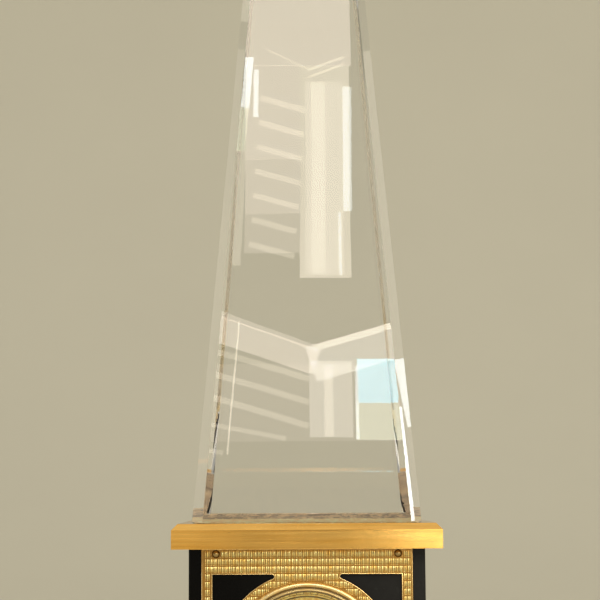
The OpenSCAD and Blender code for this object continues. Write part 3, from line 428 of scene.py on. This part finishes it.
class Mesh:
    """Collects vertices and faces of many small closed forms for one object."""

    def __init__(self):
        self.points = []
        self.faces = []

    def pad(self, x0, x1, z0, z1, y_low, y_top, round_x, round_z, lean=0.0):
        """A pillow on the panel: flat below, its top rounded towards all four sides and leaning to one."""
        shoulder = 0.78
        columns = [(x0, 0.0), (x0 + round_x, shoulder - lean), ((x0 + x1) / 2, 1.0),
                   (x1 - round_x, shoulder + lean), (x1, 0.0)]
        rows = [(z0, 0.0), (z0 + round_z, 1.0), (z1 - round_z, 1.0), (z1, 0.0)]
        start = len(self.points)
        for z, across in rows:
            for x, up in columns:
                self.points.append((x, y_low + (y_top - y_low) * min(up, across), z))
        wide = len(columns)
        for j in range(len(rows) - 1):
            for i in range(wide - 1):
                a = start + j * wide + i
                self.faces.append((a, a + 1, a + wide + 1, a + wide))
        low = [start + i for i in range(wide)]
        right = [start + (j + 1) * wide - 1 for j in range(1, len(rows))]
        high = [start + (len(rows) - 1) * wide + i for i in reversed(range(wide - 1))]
        left = [start + j * wide for j in reversed(range(1, len(rows) - 1))]
        self.faces.append(tuple(reversed(low + right + high + left)))

    def loop_wire(self, path, radius, squash, sides=6):
        """A closed wire along a loop of points in the panel's plane, pressed flatter by squash."""
        count = len(path)
        start = len(self.points)
        for k, point in enumerate(path):
            before = path[(k - 1) % count]
            after = path[(k + 1) % count]
            along = (Vector(after) - Vector(before)).normalized()
            side = along.cross(Vector((0, 1, 0))).normalized()
            for s in range(sides):
                a = 2 * math.pi * s / sides
                offset = side * math.cos(a) * radius + Vector((0, 1, 0)) * math.sin(a) * radius * squash
                self.points.append(tuple(Vector(point) + offset))
        for k in range(count):
            for s in range(sides):
                a = start + k * sides
                b = start + ((k + 1) % count) * sides
                self.faces.append((a + s, a + (s + 1) % sides, b + (s + 1) % sides, b + s))

    def build(self, name, paint, body, smooth=True):
        """Makes the object, in metres, and lets it ride on a body."""
        data = bpy.data.meshes.new(name)
        data.from_pydata([tuple(c * MM for c in p) for p in self.points], [], self.faces)
        data.update()
        if smooth:
            data.polygons.foreach_set("use_smooth", [True] * len(data.polygons))
        piece = bpy.data.objects.new(name, data)
        scene.collection.objects.link(piece)
        piece.data.materials.append(paint.material)
        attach(piece, body)
        return piece


def reed_columns(rng):
    """The reeds' left and right edges across the panel: cells of a broad and a narrow reed."""
    broad, narrow, reed_gap, cell_gap = 0.92, 0.66, 0.10, 0.20
    columns = []
    x = SIDE_RIM - PANEL_HALF_W
    while x < PANEL_HALF_W - SIDE_RIM - broad - narrow:
        stretch = rng.uniform(0.94, 1.06)
        middle = x + broad * stretch
        end = middle + narrow * stretch
        columns += [(x, middle - reed_gap), (middle, end - cell_gap)]
        x = end
    return columns


def weave_panel():
    """Rows of upright reeds in cells of two, each row on a cross thread."""
    rng = random.Random(7)
    mesh = Mesh()
    first_line, row_h, line_h, top_rim = 3.92, 3.17, 0.38, 0.42
    thread_h, thread_rise, thread_gap, shortest = 0.42, 0.19, 0.05, 0.7
    edge_share, reed_round, thread_round = 0.22, 0.2, 0.12
    floor_y = PANEL_Y + 0.03
    columns = reed_columns(rng)
    high = PANEL_HALF_H - top_rim
    low = PANEL_HALF_H - first_line
    while low > -PANEL_HALF_H:
        for left, right in columns:
            rise = rng.uniform(0.11, 0.18)
            lean = rng.uniform(-0.4, 0.4)
            stretch = clipped(left, right, low + line_h / 2, high - line_h / 2)
            if stretch and stretch[1] - stretch[0] > shortest:
                foot, top = stretch[0] + CLOCK_Z, stretch[1] + CLOCK_Z
                thread_top = foot + thread_h - thread_gap
                edge = (right - left) * edge_share
                mesh.pad(left, right, foot + thread_h, top, floor_y, PANEL_Y - rise, edge, reed_round, lean)
                mesh.pad(left, right, foot, thread_top, floor_y, PANEL_Y - thread_rise, edge, thread_round)
        high = low
        low -= row_h
    return mesh.build("panel_weave", weave_gilt, "frame")


def clipped(x0, x1, low, high):
    """The longest stretch of a reed that stays clear of everything on the panel."""
    steps = 24
    best, start = None, None
    for k in range(steps + 1):
        z = low + (high - low) * k / steps
        fine = all(room_for_weave(x, z) for x in (x0, (x0 + x1) / 2, x1))
        if fine and start is None:
            start = z
        if start is not None and (not fine or k == steps):
            end = z if fine else z - (high - low) / steps
            if best is None or end - start > best[1] - best[0]:
                best = (start, end)
            start = None
    return best


def arc(centre, radius, start, end, steps):
    """Points on an arc, its two ends included. Angles in radians from +X towards +Z."""
    angles = [start + (end - start) * k / steps for k in range(steps + 1)]
    return [(centre[0] + radius * math.cos(a), centre[1] + radius * math.sin(a)) for a in angles]


def panel_rims():
    """Thin smooth beads round the corner windows and along the panel's edge."""
    mesh = Mesh()
    bead, flat, tip_steps, land_steps = 0.2, 0.7, 6, 40
    rim_y = PANEL_Y + 0.02
    top_touch = math.atan2(TOP_TIP[1], TOP_TIP[0])
    side_touch = math.atan2(SIDE_TIP[1], SIDE_TIP[0])
    outline = [(WINDOW_SIDE + bead, WINDOW_TOP + bead)]
    outline += arc(TOP_TIP, TIP_R + bead, math.pi / 2, math.pi + top_touch, tip_steps)
    outline += arc((0.0, 0.0), LAND_R - bead, top_touch, side_touch, land_steps)[1:-1]
    outline += arc(SIDE_TIP, TIP_R + bead, math.pi + side_touch, 2 * math.pi, tip_steps)
    for side_x in (-1, 1):
        for side_z in (-1, 1):
            path = [(side_x * x, rim_y, CLOCK_Z + side_z * z) for x, z in outline]
            mesh.loop_wire(path, bead, flat)
    half_w, half_h = PANEL_HALF_W - bead, PANEL_HALF_H - bead
    corners = [(-half_w, -half_h), (half_w, -half_h), (half_w, half_h), (-half_w, half_h)]
    mesh.loop_wire([(x, rim_y, CLOCK_Z + z) for x, z in corners], bead, flat)
    return mesh.build("panel_rims", bright_gilt, "frame")


def fret_nail():
    """A small sunk nail head on the panel, up and to the right of the bezel, in dark gilding that paints the
    shade of a small pit.
    """
    mesh = Mesh()
    nail_x, nail_up, nail_r, sides = 11.7, 32.6, 0.75, 14
    nail_z = CLOCK_Z + nail_up
    profile = [(1.0, 0.05), (1.0, -0.10), (0.8, -0.16), (0.55, -0.05), (0.2, -0.03)]
    rings = [(nail_r * share, PANEL_Y + behind) for share, behind in profile]
    turns = [2 * math.pi * k / sides for k in range(sides)]
    for radius, y in rings:
        mesh.points += [(nail_x + radius * math.cos(a), y, nail_z + radius * math.sin(a)) for a in turns]
    for k in range(len(rings) - 1):
        for s in range(sides):
            a = k * sides + s
            b = k * sides + (s + 1) % sides
            mesh.faces.append((a, b, b + sides, a + sides))
    last = (len(rings) - 1) * sides
    mesh.faces += [tuple(reversed(range(sides))), tuple(range(last, last + sides))]
    return mesh.build("fret_nail", nail_painted_shade, "frame")


def dial_grid():
    """The dial's fine raised squares, inside the minute ring and clear of the hour marks and the hub."""
    rng = random.Random(11)
    mesh = Mesh()
    pitch, gap, hub_r, hour_turn = 1.02, 0.2, 4.0, 30
    mark_l, mark_half, mark_gap = 9.0, 2.2, 0.6
    floor_y = DIAL_Y + 0.015
    edge = 0.2
    side = (pitch - gap) / 2
    half_count = int(FIELD_R / pitch) + 1
    for i in range(-half_count, half_count + 1):
        for j in range(-half_count, half_count + 1):
            x, z = i * pitch, j * pitch
            r = math.hypot(x, z)
            if r > FIELD_R - pitch * 0.7 or r < hub_r:
                continue
            from_hour = (math.degrees(math.atan2(x, z)) + hour_turn / 2) % hour_turn - hour_turn / 2
            beside_mark = abs(math.radians(from_hour)) * r < mark_half
            if beside_mark and MARK_OUTER - mark_l < r < MARK_OUTER + mark_gap:
                continue
            top_y = DIAL_Y - rng.uniform(0.07, 0.11)
            lean = rng.uniform(-0.3, 0.3)
            foot = z - side + CLOCK_Z
            top = z + side + CLOCK_Z
            mesh.pad(x - side, x + side, foot, top, floor_y, top_y, edge, edge, lean)
    return mesh.build("dial_grid", face_gilt, "frame")


def glue_smear():
    """The adhesive as it shows inside the clear foot: a thin sheet with a ragged edge."""
    rng = random.Random(5)
    lift, thick, inset, raggedness, per_side = 0.03, 0.06, 0.6, 0.35, 60
    low = FILM_TOP + lift
    high = low + thick
    half = FILM_HALF - inset
    ring = []
    for side in range(4):
        for k in range(per_side):
            t = -half + 2 * half * k / per_side
            ragged = half - abs(rng.gauss(0, raggedness))
            x, y = [(t, -ragged), (ragged, t), (-t, ragged), (-ragged, -t)][side]
            ring.append((x, y))
    mesh = Mesh()
    n = len(ring)
    mesh.points = [(x, y, low) for x, y in ring] + [(x, y, high) for x, y in ring]
    mesh.faces = [tuple(reversed(range(n))), tuple(range(n, 2 * n))]
    mesh.faces += [(k, (k + 1) % n, n + (k + 1) % n, n + k) for k in range(n)]
    return mesh.build("glue_smear", glue, "frame", smooth=False)


weave_panel()
panel_rims()
fret_nail()
dial_grid()
glue_smear()


# Camera
CAMERA_PLACE = (-0.00239, -0.7526, 0.13286)
CAMERA_PITCH = 96.653
CAMERA_ROLL = -0.3
CAMERA_LENS = 98.7
SENSOR_W = 36.0


def camera():
    """The photo's view: close, level with the shaft's foot and looking up a little."""
    data = bpy.data.cameras.new("camera")
    data.lens = CAMERA_LENS
    data.sensor_width = SENSOR_W
    data.clip_start = 0.02
    data.clip_end = 50.0
    made = bpy.data.objects.new("camera", data)
    scene.collection.objects.link(made)
    made.matrix_world = (Matrix.Translation(CAMERA_PLACE)
                         @ Matrix.Rotation(math.radians(CAMERA_PITCH), 4, "X")
                         @ Matrix.Rotation(math.radians(CAMERA_ROLL), 4, "Z"))
    scene.camera = made


# Studio
def backdrop():
    """A pale floor that curves up into a wall behind the clock."""
    p = Paint("studio_paper")
    soft = p.noise(3.0, 3.0, 0.6)
    tone = p.mix(p.ramp(soft, 0.3, 0.7), (0.590, 0.568, 0.474), (0.606, 0.584, 0.486))
    p.set(Base_Color=tone, Roughness=0.9, Specular_IOR_Level=0.1)
    front_y, middle_y, wall_y, wall_top = -4.5, -1.0, 2.2, 4.0
    bend, bend_steps = 1.3, 24
    profile = [(front_y, 0.0), (middle_y, 0.0), (wall_y - bend, 0.0)]
    for k in range(1, bend_steps + 1):
        a = math.pi / 2 * k / bend_steps
        profile.append((wall_y - bend + bend * math.sin(a), bend - bend * math.cos(a)))
    profile.append((wall_y, wall_top))
    across = [-5.0, -2.5, 0.0, 2.5, 5.0]
    points = [(x, y, z) for y, z in profile for x in across]
    wide = len(across)
    faces = [(j * wide + i, j * wide + i + 1, (j + 1) * wide + i + 1, (j + 1) * wide + i)
             for j in range(len(profile) - 1) for i in range(wide - 1)]
    data = bpy.data.meshes.new("backdrop")
    data.from_pydata(points, [], faces)
    data.polygons.foreach_set("use_smooth", [True] * len(faces))
    made = bpy.data.objects.new("backdrop", data)
    scene.collection.objects.link(made)
    data.materials.append(p.material)


def soft_world():
    """Even studio air, dimmer towards the front so that the clear faces stay clear."""
    world = bpy.data.worlds.new("studio_air")
    scene.world = world
    world.use_nodes = True
    tree = world.node_tree
    shader = next(n for n in tree.nodes if n.type == "BACKGROUND")
    split = tree.nodes.new("ShaderNodeSeparateXYZ")
    where = tree.nodes.new("ShaderNodeTexCoord")
    tree.links.new(where.outputs["Generated"], split.inputs[0])
    ramp = tree.nodes.new("ShaderNodeMapRange")
    ramp.interpolation_type = "SMOOTHSTEP"
    for name, value in {"From Min": -1.0, "From Max": -0.2, "To Min": 0.36, "To Max": 0.42}.items():
        ramp.inputs[name].default_value = value
    tree.links.new(split.outputs["Y"], ramp.inputs["Value"])
    shader.inputs["Color"].default_value = (1.0, 0.95, 0.84, 1.0)
    tree.links.new(ramp.outputs["Result"], shader.inputs["Strength"])


AREA_WATTS = 4.0


def softbox(name, centre, aim, size, radiance, colour, roll=0.0):
    """An area light that gives the radiance asked for. Places and sizes are in metres."""
    data = bpy.data.lights.new(name, "AREA")
    data.shape = "RECTANGLE"
    data.size, data.size_y = size
    data.energy = radiance * size[0] * size[1] * AREA_WATTS
    data.color = colour
    made = bpy.data.objects.new(name, data)
    scene.collection.objects.link(made)
    turn = (Vector(aim) - Vector(centre)).to_track_quat("-Z", "Y").to_matrix().to_4x4()
    made.matrix_world = Matrix.Translation(centre) @ turn @ Matrix.Rotation(math.radians(roll), 4, "Z")
    made.visible_camera = False
    return made


CREAM = (1.0, 0.90, 0.74)
ROSE = (1.0, 0.87, 0.77)
DAY = (0.86, 0.95, 1.0)
SKY = (0.36, 0.80, 1.0)
PALE = (1.0, 0.94, 0.86)
LEAF = (0.86, 0.95, 0.72)
ROOM_Y = -3.0
SIDE_X = 3.0
CARD_STEP = 0.002
SLAT_H = 0.014
cards = []


def card(name, at, size, radiance, colour, tilt=0.0):
    """A light card in front of the clock. Each stands a little nearer than the last, so none is hidden."""
    x, z = at
    y = ROOM_Y + CARD_STEP * len(cards)
    cards.append(softbox("card_" + name, (x, y, z), (x, 0.0, z), size, radiance, colour, tilt))


def shutter(name, count, first, step, wide, tilt, radiance):
    """A row of bright slats, each one step below the last."""
    for k in range(count):
        at = (first[0] + step[0] * k, first[1] - step[1] * k)
        card(f"{name}_{k}", at, (wide, SLAT_H), radiance, CREAM, tilt)


def upper_room():
    """What the clear shaft mirrors high up: ceiling, shuttered wall, pale woodwork and bright window."""
    card("ceiling", at=(-0.005, 1.80), size=(0.255, 0.18), radiance=4.7, colour=ROSE)
    card("upper_wall", at=(0.058, 1.44), size=(0.118, 0.54), radiance=5.0, colour=CREAM)
    card("upper_wall_left", at=(-0.066, 1.59), size=(0.13, 0.24), radiance=4.6, colour=ROSE)
    card("upper_wall_left_mid", at=(-0.066, 1.40), size=(0.13, 0.14), radiance=3.6, colour=ROSE)
    card("upper_wall_left_low", at=(-0.066, 1.28), size=(0.13, 0.10), radiance=2.0, colour=ROSE)
    card("upper_wood_wide", at=(0.056, 1.42), size=(0.09, 0.49), radiance=1.6, colour=PALE)
    card("upper_wood", at=(0.042, 1.42), size=(0.033, 0.485), radiance=2.2, colour=CREAM)
    card("upper_window", at=(0.111, 1.49), size=(0.021, 0.32), radiance=6.0, colour=DAY)
    card("upper_window_low", at=(0.092, 1.25), size=(0.007, 0.155), radiance=4.5, colour=DAY)
    card("upper_window_left", at=(-0.127, 1.66), size=(0.020, 0.13), radiance=9.0, colour=DAY, tilt=-4.0)
    card("upper_garden_left", at=(-0.137, 1.54), size=(0.020, 0.11), radiance=4.0, colour=LEAF, tilt=-4.0)
    card("upper_window_inner", at=(-0.106, 1.63), size=(0.012, 0.12), radiance=7.5, colour=DAY)
    card("upper_reveal_left", at=(-0.144, 1.34), size=(0.020, 0.29), radiance=2.6, colour=CREAM, tilt=-2.0)
    card("upper_moulding", at=(0.062, 1.704), size=(0.092, 0.007), radiance=3.5, colour=CREAM, tilt=21.7)
    card("upper_moulding_low", at=(0.062, 1.685), size=(0.091, 0.007), radiance=3.0, colour=CREAM, tilt=21.7)
    card("upper_moulding_left", at=(-0.032, 1.714), size=(0.117, 0.007), radiance=2.0, colour=CREAM,
         tilt=-27.0)
    shutter("upper_slat", 7, first=(-0.042, 1.597), step=(-0.004, 0.062), wide=0.11, tilt=-17.3, radiance=2.6)


def lower_room():
    """The same room mirrored again lower down, ending in a curve, with sky and leaves in the window."""
    card("lower_wall", at=(0.017, 0.862), size=(0.433, 0.176), radiance=1.1, colour=ROSE)
    card("lower_wall_left", at=(-0.083, 0.996), size=(0.25, 0.062), radiance=4.2, colour=ROSE, tilt=-20.0)
    card("lower_wall_right", at=(0.118, 0.977), size=(0.20, 0.085), radiance=4.0, colour=PALE, tilt=17.1)
    card("lower_vee_left", at=(-0.078, 1.029), size=(0.224, 0.014), radiance=3.0, colour=ROSE, tilt=-20.9)
    card("lower_vee_right", at=(0.115, 1.013), size=(0.184, 0.016), radiance=5.2, colour=CREAM, tilt=17.1)
    card("lower_wood_wide", at=(0.065, 0.868), size=(0.095, 0.175), radiance=3.2, colour=PALE)
    card("lower_wood", at=(0.060, 0.863), size=(0.020, 0.165), radiance=2.8, colour=CREAM)
    card("lower_sky", at=(0.170, 0.908), size=(0.091, 0.103), radiance=10.2, colour=SKY)
    card("lower_garden", at=(0.171, 0.815), size=(0.104, 0.083), radiance=4.6, colour=LEAF)
    card("lower_frame", at=(0.122, 0.857), size=(0.007, 0.168), radiance=6.5, colour=DAY)
    shutter("lower_slat", 3, first=(-0.088, 0.943), step=(-0.001, 0.054), wide=0.22, tilt=-17.5, radiance=2.4)
    card("lower_slat_cut", at=(-0.119, 0.791), size=(0.171, 0.010), radiance=2.2, colour=CREAM, tilt=-11.2)
    card("lower_slat_end", at=(-0.190, 0.747), size=(0.039, 0.010), radiance=2.2, colour=CREAM, tilt=-10.4)
    card("lower_line", at=(-0.150, 0.893), size=(0.004, 0.305), radiance=5.0, colour=CREAM, tilt=-4.2)


def side_light(name, x, y, z, size, radiance, colour, roll=0.0):
    """A light far to one side that looks level at the shaft."""
    softbox(name, (x, y, z), (0.0, y, z), size, radiance, colour, roll)


def side_glints():
    """Window light from the sides on the shaft's bevelled corners."""
    side_light("glint_right", SIDE_X, 0.235, 0.84, size=(0.04, 0.16), radiance=7.0, colour=DAY)
    side_light("wash_left", -SIDE_X, 0.2, 1.1, size=(0.4, 1.2), radiance=1.0, colour=CREAM)
    side_light("wash_right", SIDE_X + 0.02, 0.2, 1.1, size=(0.4, 1.2), radiance=1.6, colour=CREAM)
    side_light("glint_right_line", SIDE_X, 0.196, 0.68, size=(0.008, 0.26), radiance=11.0, colour=DAY,
               roll=-5.0)


def studio_lights():
    """Soft light from the upper right, a weaker fill, and low light that the gilding mirrors."""
    base = (0.0, 0.0, 0.15)
    softbox("key", (1.9, -1.7, 2.0), base, (1.0, 1.0), radiance=5.6, colour=(1.0, 0.94, 0.84))
    softbox("fill", (-2.2, -1.2, 1.5), base, (1.6, 1.6), radiance=1.1, colour=(1.0, 0.95, 0.88))
    softbox("overhead", (0.0, 0.6, 3.0), (0.0, 0.6, 0.0), (2.6, 2.0), radiance=0.45,
            colour=(1.0, 0.96, 0.88))
    softbox("front_right", (0.52, -1.1, 0.5), (0.0, 0.0, 0.1), (0.5, 0.6), radiance=2.8,
            colour=(1.0, 0.92, 0.74))
    softbox("low_left", (-0.30, -3.06, 0.2), (-0.30, 0.0, 0.2), (0.22, 0.4), radiance=0.48,
            colour=(1.0, 0.90, 0.68))
    softbox("low_strip", (0.39, -3.05, 0.18), (0.39, 0.0, 0.18), (0.32, 0.34), radiance=3.6,
            colour=(0.97, 0.97, 1.0))
    softbox("front_high", (0.1, -3.0, 2.6), (0.0, 0.0, 0.11), (2.6, 0.9), radiance=4.4,
            colour=(1.0, 0.91, 0.74))


camera()
backdrop()
soft_world()
upper_room()
lower_room()
side_glints()
studio_lights()
scene.view_settings.view_transform = "Standard"
scene.cycles.max_bounces = 24
scene.cycles.glossy_bounces = 16
scene.cycles.transmission_bounces = 24
